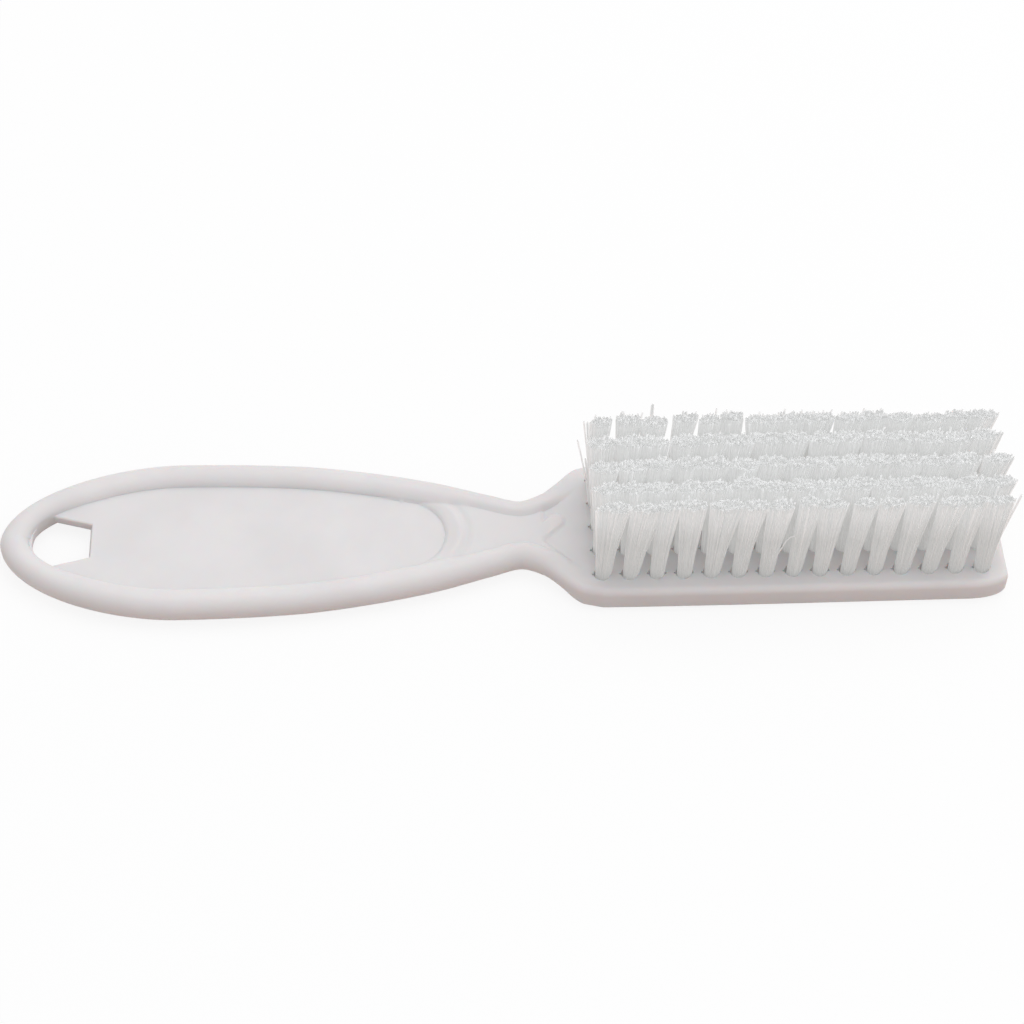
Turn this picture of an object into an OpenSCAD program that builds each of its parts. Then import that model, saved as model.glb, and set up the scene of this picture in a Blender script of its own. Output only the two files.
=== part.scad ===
// Nail brush with a long handle, lying on its back with the bristles up.
// +X points from the handle to the head and +Z up. The origin is under the middle of the head's back.

/* [Handle] */
// Length from the tip of the handle to the narrowest place of the neck
handle_l = 90.3; // [84:0.1:98]
// Width of the handle at its widest place
handle_w = 33.3; // [30:0.1:38]
// Distance from the tip to the widest place
wide_x = 31; // [29:0.1:34]
// Width of the rolled rim
rim_w = 5; // [4.6:0.1:5.4]
// Thickness of the panel inside the rim
web_t = 1.6; // [1.2:0.1:2.2]
// Depth of the panel below the top of the rim
front_recess = 1.8; // [1.5:0.1:2.2]
// Depth of the panel above the back of the rim
back_recess = 1.6; // [1.3:0.1:2]

/* [Hang hole] */
// Distance from the tip to the hole
hang_x = 5.5; // [5.2:0.1:7]
// Radius of the hole's round end
hang_r = 6; // [5.5:0.1:6.5]
// Length of the round end, up to the corners
hang_round_l = 3.5; // [3:0.1:4]
// Length of the hole
hang_l = 9.8; // [8.5:0.1:11]
// Width of the hole's straight end
hang_end_w = 7.2; // [6:0.1:8]

/* [Neck] */
// Width of the neck at its narrowest place
neck_w = 13.9; // [12:0.1:15]
// Length from the narrowest place to the full width of the head
shoulder_l = 13.7; // [12:0.1:16]
// Distance from the tip to the end of the panel
arch_x = 77.2; // [76:0.1:78]
// Radius of the panel's round end
arch_r = 7.5; // [7:0.1:8]
// Distance from the tip to the start of the neck's flat floor
floor_x = 82.5; // [82:0.1:83]
// Radius of the round edge where that floor starts
floor_r = 8.6; // [8.2:0.1:9]
// Depth of the neck's floor below the top of the rim
floor_drop = 0.8; // [0.6:0.05:1]
// Depth of the neck's back above the table
neck_back = 0.6; // [0.4:0.05:0.9]

/* [Head] */
// Length of the head, past the shoulder
head_l = 70.7; // [70:0.1:77]
// Width of the head at the shoulder
head_w = 29.7; // [28:0.1:32]
// Width of the head at its far end
end_w = 29; // [27.6:0.1:32]
// Thickness of the head
head_t = 4.5; // [4.2:0.1:4.9]
// Length of the head's elliptical corners, along the head
corner_l = 7; // [4:0.1:9]
// Width of those corners, across the head
corner_w = 2.8; // [2.6:0.1:4]
// Radius along the head's top edge
edge_r = 1.2; // [0.8:0.1:1.5]
// Radius along the head's back edge
back_edge_r = 0.8; // [0.5:0.1:1.2]

/* [Tufts] */
// Tufts along the head
columns = 15; // [12:1:15]
// Tufts across the head
rows = 5; // [3:2:5]
// Distance between tufts across the head
pitch_y = 5.31; // [4.8:0.01:5.4]
// Distance from the shoulder's end to the first column, which lies just before it
first_back = 0.2; // [0:0.1:0.4]
// Distance from the last column to the head's far end
last_inset = 4.7; // [4:0.1:5]
// Diameter of a tuft hole
hole_d = 2.75; // [2.5:0.05:2.9]
// Depth of a tuft hole
hole_depth = 3.4; // [3.2:0.05:3.6]
// Height of the bristles above the head
bristle_l = 16.4; // [13:0.1:20]
// Strands modelled in each tuft
strands = 6; // [5:1:6]

/* [Anchors] */
// Length of the flat wire anchor
anchor_l = 3.3; // [3.1:0.05:3.5]
// Thickness of the flat wire
anchor_t = 0.35; // [0.25:0.05:0.4]
// Width of the flat wire
anchor_h = 1.4; // [1.1:0.1:1.6]
// Thickness of the bristle fold under the anchor
fold_t = 0.5; // [0.4:0.05:0.6]

/* [Hidden] */
column_names = [for (c = [1:columns]) str(c < 10 ? "0" : "", c)];

// Clearance between a tuft, its anchor and the body
fit = 0.03;
// How far a cut runs past the face it opens
overrun = 1;

// Levels
rim_h = front_recess + web_t + back_recess;
web_back = back_recess;
web_top = back_recess + web_t;
floor_z = rim_h - floor_drop;

// Places along X, measured from the tip
rim_r = rim_w / 2;
neck_x = handle_l;
head_x = neck_x + shoulder_l;
end_x = head_x + head_l;
first_x = head_x - first_back;
pitch_x = (end_x - last_inset - first_x) / (columns - 1);
// The head's flat deck starts this far before the first column
deck_lead = 2;
deck_x = first_x - deck_lead;
origin_x = (head_x + end_x) / 2;

// Half widths of the rim's centre line
wide_half = handle_w / 2 - rim_r;
neck_half = neck_w / 2 - rim_r;
head_half = head_w / 2 - rim_r;
end_half = end_w / 2 - rim_r;

// Exponents of the rounded tip
tip_m = 1.82;
tip_n = 1.73;
// How much narrower half the rim is beside the hang hole, at which angle and over what half angle
tip_thin = 0.25;
thin_at = 30;
thin_half = 28;
// Shares of the way from the widest place to the neck, and of the width between them
taper_shares = [[0, 1], [0.329, 0.932], [0.531, 0.765], [0.734, 0.494], [0.902, 0.166], [1, 0]];
// Shares of the shoulder's length, and of the width that it gains
shoulder_shares = [[0.343, 0.208], [0.6, 0.568], [0.81, 0.9], [1, 1]];

// Wall, crest and groove at the panel's round end
arch_wall = 2.3;
arch_flare = 0.35;
crest_rise = 0.16;
crest_at = 2.5;
crest_half = 1.3;
groove_drop = 0.22;
groove_at = 1.3;
groove_half = 1.2;
// How much faster the rim's inside falls along the neck than along the panel, as a share,
// how far before the panel's end that begins, and over what length it grows
neck_pinch = 0.7;
pinch_lead = 2;
pinch_run = 9;

// Fork where the neck's floor meets the lower plateau of the head: two raised prongs.
// Their ends are measured from the neck's narrowest place.
fork_l = 4.9;
fork_x = neck_x + fork_l;
fork_drop = 0.35;
fork_edge = 0.5;
plateau_z = floor_z - fork_drop;
prong_rise = 0.25;
prong_run = 3.65;
prong_a = [[2.9, -1.1], [6.25, 1.75]];
prong_a_r = 1.4;
prong_b = [[3.7, -3.2], [7.7, -7.6]];
prong_b_r = 0.5;

// Distance from the neck to where the rim starts to turn into the head's edge, on top and below
edge_lead = 3;
back_lead = 5.5;
// Radius left inside the rim's section at the head's corners
corner_in = 0.3;
// Height of the straight band round the rim's outside
rim_band = 0.2;

// Steps along the body's surface: degrees round the tip and corners, counts along the sides
tip_step = 6;
corner_step = 18;
handle_steps = 10;
arch_steps = 14;
floor_steps = 6;
fork_steps = 13;
// Share of the panel's round end before the fine steps start, and how far they run past an edge
arch_start_share = 0.6;
step_lead = 1;
// Half the distance over which the rim's direction is measured
nudge = 0.05;

function smooth(t) = t <= 0 ? 0 : t >= 1 ? 1 : t * t * (3 - 2 * t);
function mix(a, b, t) = a + (b - a) * t;
function bump(t) = abs(t) >= 1 ? 0 : (1 + cos(180 * t)) / 2;
function arc_z(t) = sqrt(max(0, 1 - t * t));

// The rim's centre line past the widest place: a smooth curve through its knots
knots = concat(
    [for (s = taper_shares) [mix(wide_x, neck_x, s[0]), mix(neck_half, wide_half, s[1])]],
    [for (s = shoulder_shares) [neck_x + shoulder_l * s[0], mix(neck_half, head_half, s[1])]],
    [[end_x - corner_l, end_half]]
);
last_knot = len(knots) - 1;
function slope(k) =
    k == 0 ? 0
    : k == last_knot ? (knots[k][1] - knots[k - 1][1]) / (knots[k][0] - knots[k - 1][0])
    : (knots[k + 1][1] - knots[k - 1][1]) / (knots[k + 1][0] - knots[k - 1][0]);
function knot_at(x) = max([for (k = [0:last_knot - 1]) if (k == 0 || x >= knots[k][0]) k]);
function hermite(a, b, ma, mb, h, t) =
    (2 * t ^ 3 - 3 * t ^ 2 + 1) * a + (t ^ 3 - 2 * t ^ 2 + t) * h * ma
    + (3 * t ^ 2 - 2 * t ^ 3) * b + (t ^ 3 - t ^ 2) * h * mb;
function half_width(x) =
    let (k = knot_at(x), a = knots[k], b = knots[k + 1], h = b[0] - a[0])
    hermite(a[1], b[1], slope(k), slope(k + 1), h, (x - a[0]) / h);

// A station is a place on the rim's centre line, its outward direction and half the rim's width there
function unit(v) = v / norm(v);
function left_of(v) = [-v[1], v[0]];
function tip_point(a) = [
    rim_r + (wide_x - rim_r) * (1 - cos(a) ^ (2 / tip_m)),
    wide_half * sin(a) ^ (2 / tip_n)
];
function tip_station(a) =
    let (
        n = unit(left_of(tip_point(a + 1) - tip_point(a - 1))),
        thin = tip_thin * bump((a - thin_at) / thin_half)
    )
    [tip_point(a) + n * thin, n, rim_r - thin];
function side_station(x) =
    let (d = (half_width(x + nudge) - half_width(x - nudge)) / (2 * nudge))
    [[x, half_width(x)], unit([-d, 1]), rim_r];
function corner_station(a) =
    let (h = (corner_w - corner_in) / 2)
    [
        [end_x - corner_l + (corner_l - h) * cos(a), end_w / 2 - corner_w + (corner_w - h) * sin(a)],
        [cos(a), sin(a)],
        h
    ];
function run(a, b, n) = [for (k = [0:n - 1]) mix(a, b, k / n)];

arch_start = arch_x - arch_r * arch_start_share;
floor_start = floor_x + step_lead;
fork_start = fork_x - step_lead;
body_xs = concat(
    run(wide_x, arch_start, handle_steps),
    run(arch_start, floor_start, arch_steps),
    run(floor_start, fork_start, floor_steps),
    run(fork_start, deck_x, fork_steps),
    [deck_x]
);
// Stations whose sections run right across the brush, up to the start of the head's flat deck
grid_stations = concat(
    [for (a = [tip_step / 2:tip_step:90 - tip_step / 2]) tip_station(a)],
    [for (x = body_xs) side_station(x)]
);
stations = concat(
    grid_stations,
    [for (x = [(deck_x + head_x) / 2, head_x]) side_station(x)],
    [for (a = [90:-corner_step:0]) corner_station(a)]
);
last_grid = len(grid_stations) - 1;
last_station = len(stations) - 1;

// The top surface inside the rim
function round_end(x, y, c, r) =
    x > c ? norm([x - c, y]) - r : abs(y) - r - (c - x) * arch_flare;
function capsule(x, y, s, r) =
    let (p = [x - neck_x, y] - s[0], d = s[1] - s[0], t = max(0, min(1, p * d / (d * d))))
    norm(p - d * t) - r;
function arch_wall_share(x, y) = smooth(round_end(x, y, arch_x - arch_r, arch_r) / arch_wall);
function neck_top(x, y) =
    let (
        u = round_end(x, y, arch_x - arch_r, arch_r),
        v = round_end(x, y, floor_x - floor_r, floor_r)
    )
    u <= 0 ? web_top
    : mix(web_top, floor_z, arch_wall_share(x, y))
    + crest_rise * bump((u - crest_at) / crest_half)
    - groove_drop * bump((v + groove_at) / groove_half);
function plateau(x) = mix(plateau_z, head_t, max(0, min(1, (x - fork_x) / (deck_x - fork_x))));
function head_top(x, y) =
    let (
        d = min(
            x - fork_x + fork_edge,
            capsule(x, y, prong_a, prong_a_r),
            capsule(x, y, prong_b, prong_b_r)
        ),
        prong = floor_z + prong_rise * smooth((x - fork_x + prong_a_r) / prong_run)
    )
    mix(plateau(x), max(prong, plateau(x)), smooth(0.5 - d / fork_edge));
function top_z(x, y) = x < neck_x ? neck_top(x, y) : head_top(x, y);
function back_z(x, y) =
    x < neck_x ? mix(web_back, neck_back, arch_wall_share(x, y))
    : mix(neck_back, 0, smooth((x - neck_x) / (deck_x - neck_x)));

// The rim's section, from its outside, s = 1, to its inside, s = -1
rim_shares = [1, 0.94, 0.78, 0.5, 0.15, -0.3, -0.65, -0.88, -1];
inner_shares = [0.35, 0.7];
function pinch_at(x) = neck_pinch * smooth((x - arch_x + pinch_lead) / pinch_run);
function edge_share(x, lead) = smooth((x - neck_x - lead) / (deck_x - neck_x - lead));
function edge_drop(s, h, r) =
    let (d = (1 - s) * h / r)
    d >= 1 ? 0 : r * (1 - arc_z(1 - d));
// The rim is round outside, and inside it comes down to the panel or the floor
outer_h = (rim_h - rim_band) / 2;
function rim_top(s, p, st) = mix(
    s > 0 ? rim_h - outer_h + outer_h * arc_z(s)
    : max(web_top + front_recess * arc_z(s * (1 + pinch_at(st[0][0]))), top_z(p[0], p[1])),
    top_z(p[0], p[1]) - edge_drop(s, st[2], edge_r),
    edge_share(st[0][0], edge_lead)
);
function rim_back(s, p, st) = mix(
    s > 0 ? outer_h - outer_h * arc_z(s)
    : min(web_back - back_recess * arc_z(s), back_z(p[0], p[1])),
    back_z(p[0], p[1]) + edge_drop(s, st[2], back_edge_r),
    edge_share(st[0][0], back_lead)
);

// One side's points, from the outside to the axis, at a station
function rim_plan(st, side) = [
    for (s = rim_shares) let (p = st[0] + st[1] * st[2] * s) [p[0], side * p[1]]
];
function inner_end(st) = st[0] - st[1] * st[2];
function inner_plan(st, side) =
    let (p = inner_end(st))
    [for (f = inner_shares) [p[0], side * p[1] * (1 - f)]];
function flip(v) = [for (k = [len(v) - 1:-1:0]) v[k]];
function top_half(st, side) = concat(
    [for (k = [0:rim_n - 1]) let (p = rim_plan(st, side)[k])
        [p[0], p[1], rim_top(rim_shares[k], p, st)]],
    [for (p = inner_plan(st, side)) [p[0], p[1], top_z(p[0], p[1])]]
);
function back_half(st, side) = concat(
    [for (k = [0:rim_n - 1]) let (p = rim_plan(st, side)[k])
        [p[0], p[1], rim_back(rim_shares[k], p, st)]],
    [for (p = inner_plan(st, side)) [p[0], p[1], back_z(p[0], p[1])]]
);
rim_n = len(rim_shares);
half_n = rim_n + len(inner_shares);
loop_n = 4 * half_n + 2;
// A loop round the section: top from the left side to the right, then the back from right to left
function section(st) =
    let (x = inner_end(st)[0])
    concat(
        top_half(st, 1),
        [[x, 0, top_z(x, 0)]],
        flip(top_half(st, -1)),
        back_half(st, -1),
        [[x, 0, back_z(x, 0)]],
        flip(back_half(st, 1))
    );
function quad(a, b, c, d) = [[a, b, c], [a, c, d]];
function flat(lists) = [for (l = lists) each l];
back_right_0 = 2 * half_n + 1;

module solid_body() {
    points = flat([for (st = stations) section(st)]);
    // Index of the k-th point of a run at station i: left top, right top, right back and left back,
    // each counted from the outside
    function lt(i, k) = i * loop_n + k;
    function rt(i, k) = i * loop_n + back_right_0 - 1 - k;
    function rb(i, k) = i * loop_n + back_right_0 + k;
    function lb(i, k) = i * loop_n + loop_n - 1 - k;
    around = flat([
        for (i = [0:last_grid - 1], j = [0:loop_n - 1])
            let (a = i * loop_n, n = (j + 1) % loop_n)
            quad(a + j, a + loop_n + j, a + loop_n + n, a + n)
    ]);
    edges = flat([
        for (i = [last_grid:last_station - 1]) concat(
            flat([for (k = [0:rim_n - 2]) concat(
                quad(lt(i, k), lt(i + 1, k), lt(i + 1, k + 1), lt(i, k + 1)),
                quad(rt(i, k + 1), rt(i + 1, k + 1), rt(i + 1, k), rt(i, k)),
                quad(rb(i, k), rb(i + 1, k), rb(i + 1, k + 1), rb(i, k + 1)),
                quad(lb(i, k + 1), lb(i + 1, k + 1), lb(i + 1, k), lb(i, k))
            )]),
            quad(rt(i, 0), rt(i + 1, 0), rb(i + 1, 0), rb(i, 0)),
            quad(lb(i, 0), lb(i + 1, 0), lt(i + 1, 0), lt(i, 0))
        )
    ]);
    // Caps across the axis at the tip and at the head's end
    n = rim_n - 1;
    tip = concat(
        flat([for (k = [0:n - 2]) concat(
            quad(lt(0, k), lt(0, k + 1), rt(0, k + 1), rt(0, k)),
            quad(rb(0, k), rb(0, k + 1), lb(0, k + 1), lb(0, k))
        )]),
        quad(lt(0, 0), rt(0, 0), rb(0, 0), lb(0, 0)),
        [concat([lt(0, n - 1)], [for (j = [n:2 * half_n - n]) j], [rt(0, n - 1)])],
        [concat([rb(0, n - 1)], [for (j = [rb(0, n):lb(0, n)]) j], [lb(0, n - 1)])]
    );
    m = last_station;
    end = concat(
        flat([for (k = [0:n - 1]) concat(
            quad(rt(m, k), rt(m, k + 1), lt(m, k + 1), lt(m, k)),
            quad(lb(m, k), lb(m, k + 1), rb(m, k + 1), rb(m, k))
        )]),
        quad(lb(m, 0), rb(m, 0), rt(m, 0), lt(m, 0))
    );
    // The head's flat deck and back, each one face
    h = last_grid;
    deck = concat(
        [for (i = [m:-1:h + 1]) rt(i, n)],
        [for (j = [rt(h, n):-1:lt(h, n)]) j],
        [for (i = [h + 1:m]) lt(i, n)]
    );
    back = concat(
        [for (i = [m:-1:h + 1]) lb(i, n)],
        [for (j = [lb(h, n):-1:rb(h, n)]) j],
        [for (i = [h + 1:m]) rb(i, n)]
    );
    polyhedron(points, concat(around, edges, tip, end, [deck], [back]));
}

function tuft_x(c) = first_x + c * pitch_x;
function tuft_y(r) = (r - (rows - 1) / 2) * pitch_y;
hole_z = head_t - hole_depth;
anchor_z = hole_z + fold_t;

module anchor_plate(clear) {
    translate([-anchor_l / 2 - clear, -anchor_t / 2 - clear, anchor_z - clear])
        cube([anchor_l + 2 * clear, anchor_t + 2 * clear, anchor_h + 2 * clear]);
}

module tuft_hole() {
    translate([0, 0, hole_z])
        cylinder(d = hole_d, h = hole_depth + overrun, $fn = 48);
    // The slot that the anchor cuts as it is driven in
    translate([-anchor_l / 2 - fit, -anchor_t / 2 - fit, anchor_z - fit])
        cube([anchor_l + 2 * fit, anchor_t + 2 * fit, head_t - anchor_z + overrun]);
}

module hang_hole() {
    hang_c = hang_x + hang_r;
    round_y = sqrt(hang_r ^ 2 - (hang_r - hang_round_l) ^ 2);
    side = (round_y - hang_end_w / 2) / (hang_l - hang_round_l);
    start_half = round_y + side * hang_round_l;
    translate([0, 0, -overrun])
        linear_extrude(rim_h + 2 * overrun)
            intersection() {
                translate([hang_c, 0])
                    circle(hang_r, $fn = 64);
                polygon([
                    [hang_x, start_half],
                    [hang_x, -start_half],
                    [hang_x + hang_l, -hang_end_w / 2],
                    [hang_x + hang_l, hang_end_w / 2]
                ]);
            }
}

module brush_body() {
    color([0.93, 0.92, 0.92])
        translate([-origin_x, 0, 0])
            difference() {
                solid_body();
                hang_hole();
                for (c = [0:columns - 1], r = [0:rows - 1])
                    translate([tuft_x(c), tuft_y(r), 0])
                        tuft_hole();
            }
}

// A tuft is a folded root that fills its hole, with strands that rise from the root's sectors
root_r = hole_d / 2 - fit;
// How far the root's top lies below the head's deck
root_drop = 0.2;
root_top = head_t - root_drop;
strand_inset_share = 0.84;
strand_tip_share = 1.1;
flare_share = 1.6;
ragged_share = 0.035;
// How far the outer edge of a strand's tip lies below its point
tip_bevel = 0.33;
// How far a tuft's tips stand off its hole's axis, at random
lean_max = 0.3;
// How far the end column's tips lean outwards, and how many columns share the lean
end_lean = 1.5;
end_columns = 3;

function seed(c, r) = 1 + c * rows + r;
function lean(c, r) =
    let (
        k = rands(-lean_max, lean_max, 2, seed(c, r)),
        e = max(0, c + 1 - columns + end_columns) / end_columns
    )
    [k[0] + end_lean * e * e, k[1]];
function tip_height(c, r, j) =
    let (k = rands(-ragged_share, ragged_share, strands, seed(c, r))[j])
    head_t + bristle_l * (1 + k);

module tuft(c, r) {
    // Rings of the root, turned so that a flat faces +X and the anchor's slot
    function corner(j) = (j + 0.5) * 360 / strands;
    function ring(z) = [
        for (j = [0:strands - 1]) [root_r * cos(corner(j)), root_r * sin(corner(j)), z]
    ];
    low = ring(hole_z + fit);
    high = ring(root_top);
    centre = [0, 0, root_top];
    shift = lean(c, r);
    function sector(j) = [centre, high[j], high[(j + 1) % strands]];
    function middle(j) = (sector(j)[0] + sector(j)[1] + sector(j)[2]) / 3;
    function inset(j) = [for (p = sector(j)) middle(j) + (p - middle(j)) * strand_inset_share];
    function tip(j) =
        let (m = middle(j), h = tip_height(c, r, j))
        [for (k = [0:2]) let (p = sector(j)[k])
            [
                m[0] * flare_share + (p[0] - m[0]) * strand_tip_share + shift[0],
                m[1] * flare_share + (p[1] - m[1]) * strand_tip_share + shift[1],
                h - (k == 0 ? 0 : tip_bevel)
            ]];
    points = concat(
        low, high, [centre],
        flat([for (j = [0:strands - 1]) inset(j)]),
        flat([for (j = [0:strands - 1]) tip(j)])
    );
    n = strands;
    base = 2 * n + 1;
    faces = concat(
        [[for (j = [0:n - 1]) j]],
        [for (j = [0:n - 1]) [j, n + j, n + (j + 1) % n, (j + 1) % n]],
        flat([for (j = [0:n - 1])
            let (
                o = [2 * n, n + j, n + (j + 1) % n],
                b = base + 3 * j,
                t = base + 3 * n + 3 * j
            )
            concat(
                flat([for (k = [0:2]) quad(o[k], b + k, b + (k + 1) % 3, o[(k + 1) % 3])]),
                flat([for (k = [0:2]) quad(b + k, t + k, t + (k + 1) % 3, b + (k + 1) % 3)]),
                [[t + 2, t + 1, t]]
            )])
    );
    difference() {
        polyhedron(points, faces);
        anchor_plate(fit);
    }
}

module tuft_column(c) {
    color([0.93, 0.95, 0.95])
        translate([-origin_x, 0, 0])
            for (r = [0:rows - 1])
                translate([tuft_x(c), tuft_y(r), 0])
                    tuft(c, r);
}

module anchor_column(c) {
    color([0.78, 0.77, 0.74])
        translate([-origin_x, 0, 0])
            for (r = [0:rows - 1])
                translate([tuft_x(c), tuft_y(r), 0])
                    anchor_plate(0);
}

brush_body();
for (c = [0:columns - 1])
    tuft_column(c);
for (c = [0:columns - 1])
    anchor_column(c);
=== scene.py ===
import math

import bpy
import numpy as np
from mathutils import Matrix, Vector


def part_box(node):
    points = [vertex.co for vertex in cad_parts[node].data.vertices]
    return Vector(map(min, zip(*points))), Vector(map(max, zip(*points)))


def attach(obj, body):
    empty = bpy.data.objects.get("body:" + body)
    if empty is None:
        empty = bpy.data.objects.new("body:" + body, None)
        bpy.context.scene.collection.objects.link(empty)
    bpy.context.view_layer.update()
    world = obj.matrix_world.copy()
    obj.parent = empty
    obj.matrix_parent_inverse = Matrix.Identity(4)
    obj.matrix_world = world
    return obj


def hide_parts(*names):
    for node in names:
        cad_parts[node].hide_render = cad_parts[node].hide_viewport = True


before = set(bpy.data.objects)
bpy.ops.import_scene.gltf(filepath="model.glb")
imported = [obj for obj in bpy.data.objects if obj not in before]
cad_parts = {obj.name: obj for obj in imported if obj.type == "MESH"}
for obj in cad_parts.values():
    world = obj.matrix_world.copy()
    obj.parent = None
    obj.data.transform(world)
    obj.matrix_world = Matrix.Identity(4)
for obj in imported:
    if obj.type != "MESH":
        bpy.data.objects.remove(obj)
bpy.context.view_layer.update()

# The script draws a long-handled nail brush that lies on its back with the bristles up.
# Sizes are in millimetres in the names below, and MM turns them into the frame's metres.
MM = 0.001
BODY_LOW, BODY_HIGH = (np.array(v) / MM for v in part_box("brush_body"))
SEED = 11

# Along X, measured from the tip of the handle
TIP_X = BODY_LOW[0]
LENGTH = BODY_HIGH[0] - TIP_X
NECK_X, SHOULDER_L = 90.3, 13.7
HEAD_X = NECK_X + SHOULDER_L
WIDE_X = 31
# The round ends of the panel and of the neck's sunk floor: how far they reach, and their radii
ARCH_X, ARCH_R = 77.2, 7.5
FLOOR_X, FLOOR_R = 82.5, 8.6

# Levels: the panel's two faces, the rim's top, the neck's floor and back, and the head's deck
WEB_BACK, WEB_TOP = 1.6, 3.2
RIM_H = 5.0
FLOOR_Z, NECK_BACK = 4.2, 0.6
HEAD_T = 4.5

# The rim: half its own width, and half widths of its centre line at the widest place, neck and head
RIM_R = 2.5
WIDE_HALF = BODY_HIGH[1] - RIM_R
NECK_HALF, HEAD_HALF, END_HALF = 4.45, 12.35, 12.0
# The head's corners: length, width, and what stays inside the rim's section
CORNER_L, CORNER_W, CORNER_IN = 7.0, 2.8, 0.3
# The upright band round the rim's outside, and the height of the round parts above and below it
RIM_BAND = 0.2
OUTER_H = (RIM_H - RIM_BAND) / 2
# Radii of the head's edges, and of the rim's foot along the panel and the neck
EDGE_R, BACK_EDGE_R = 1.2, 0.8
FOOT_R, NECK_FOOT_R = 0.3, 0.9
# How much faster the rim's inside falls along the neck than along the panel,
# and where that begins and is complete
NECK_PINCH = 0.7
PINCH_START, PINCH_END = ARCH_X - 2, ARCH_X + 7
# Exponents of the superellipse round the tip
TIP_M, TIP_N = 1.82, 1.73
# How much narrower half the rim is beside the hang hole, and round which angle
TIP_THIN, THIN_AT, THIN_HALF = 0.25, 30, 28
# Degrees round the tip and the corners between stations, and steps along the sides
TIP_STEP, TIP_END, TIP_NUDGE = 1.5, 88.6, 0.8
CORNER_STEP = 5
HANDLE_STEP, NECK_STEP, FINE_STEP = 0.8, 0.5, 0.25
HEAD_STATIONS = 30
SIDE_NUDGE = 0.05
# Points over the rim's section, and from its foot to the brush's axis
RIM_POINTS, INNER_POINTS = 25, 27
# Knots of the rim from the widest place to the neck and on to the head, as shares of each run
TAPER_SHARES = ((0, 1), (0.329, 0.932), (0.531, 0.765), (0.734, 0.494), (0.902, 0.166), (1, 0))
SHOULDER_SHARES = ((0.343, 0.208), (0.6, 0.568), (0.81, 0.9), (1, 1))

# Tufts: their grid, holes and anchors
COLUMNS, ROWS = 15, 5
FIRST_X, LAST_INSET = HEAD_X - 0.2, 4.7
PITCH_X, PITCH_Y = (LENGTH - LAST_INSET - FIRST_X) / (COLUMNS - 1), 5.31
DECK_X = FIRST_X - 2
HOLE_R, HOLE_DEPTH = 1.375, 3.4
# The slot that an anchor cuts: length, width, and how far it ends above the hole's bottom
ANCHOR_L, ANCHOR_T, ANCHOR_LIFT = 3.36, 0.41, 0.47
ANCHOR_Z = HEAD_T - HOLE_DEPTH + ANCHOR_LIFT


def smooth(t):
    """Eases a share from 0 to 1."""
    t = np.clip(t, 0, 1)
    return t * t * (3 - 2 * t)


def mix(a, b, t):
    """The value a share t of the way from a to b."""
    return a + (b - a) * t


def bump(t):
    """One rounded hump over t from -1 to 1."""
    return np.where(np.abs(t) < 1, (1 + np.cos(np.pi * t)) / 2, 0)


def arc(t):
    """A quarter ellipse: 1 at t = 0, and 0 at t = 1 or -1."""
    return np.sqrt(np.maximum(0, 1 - t * t))


def soft_max(a, b, k):
    """The larger of two heights, with their crossing rounded over k."""
    k = np.maximum(k, 1e-6)
    h = np.clip(0.5 + 0.5 * (a - b) / k, 0, 1)
    return mix(b, a, h) + k * h * (1 - h)


def rim_knots():
    """The knots of the rim's centre line past the widest place, as x and half width."""
    knots = [(mix(WIDE_X, NECK_X, a), mix(NECK_HALF, WIDE_HALF, b)) for a, b in TAPER_SHARES]
    knots += [(NECK_X + SHOULDER_L * a, mix(NECK_HALF, HEAD_HALF, b)) for a, b in SHOULDER_SHARES]
    return np.array(knots + [(LENGTH - CORNER_L, END_HALF)])


KNOTS = rim_knots()
SLOPES = np.empty(len(KNOTS))
SLOPES[0] = 0
SLOPES[1:-1] = (KNOTS[2:, 1] - KNOTS[:-2, 1]) / (KNOTS[2:, 0] - KNOTS[:-2, 0])
SLOPES[-1] = (KNOTS[-1, 1] - KNOTS[-2, 1]) / (KNOTS[-1, 0] - KNOTS[-2, 0])


def half_width(x):
    """Half width of the rim's centre line past the widest place: a smooth curve through KNOTS."""
    k = np.clip(np.searchsorted(KNOTS[:, 0], x, side="right") - 1, 0, len(KNOTS) - 2)
    a, b = KNOTS[k], KNOTS[k + 1]
    h = b[..., 0] - a[..., 0]
    t = (x - a[..., 0]) / h
    return (
        (2 * t**3 - 3 * t**2 + 1) * a[..., 1]
        + (t**3 - 2 * t**2 + t) * h * SLOPES[k]
        + (3 * t**2 - 2 * t**3) * b[..., 1]
        + (t**3 - t**2) * h * SLOPES[k + 1]
    )


def tip_point(a):
    """Place on the rounded tip's outline, by angle from the axis."""
    return np.array([
        RIM_R + (WIDE_X - RIM_R) * (1 - math.cos(a) ** (2 / TIP_M)),
        WIDE_HALF * math.sin(a) ** (2 / TIP_N),
    ])


def outward(tangent):
    """Unit vector to the left of a direction along the rim."""
    n = np.array([-tangent[1], tangent[0]])
    return n / np.linalg.norm(n)


def tip_place(a, step):
    """Place, outward direction and half width of the rim at an angle round the tip."""
    n = outward(tip_point(a + step) - tip_point(a - step))
    thin = TIP_THIN * float(bump((math.degrees(a) - THIN_AT) / THIN_HALF))
    return tip_point(a) + n * thin, n, RIM_R - thin


def side_place(x):
    """The same along the sides."""
    d = (half_width(x + SIDE_NUDGE) - half_width(x - SIDE_NUDGE)) / (2 * SIDE_NUDGE)
    return np.array([x, half_width(x)]), outward(np.array([1, d])), RIM_R


def corner_place(a):
    """The same round the head's corners."""
    h = (CORNER_W - CORNER_IN) / 2
    way = np.array([math.cos(a), math.sin(a)])
    centre = np.array([LENGTH - CORNER_L, END_HALF + RIM_R - CORNER_W])
    return centre + np.array([CORNER_L - h, CORNER_W - h]) * way, way, h


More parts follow.
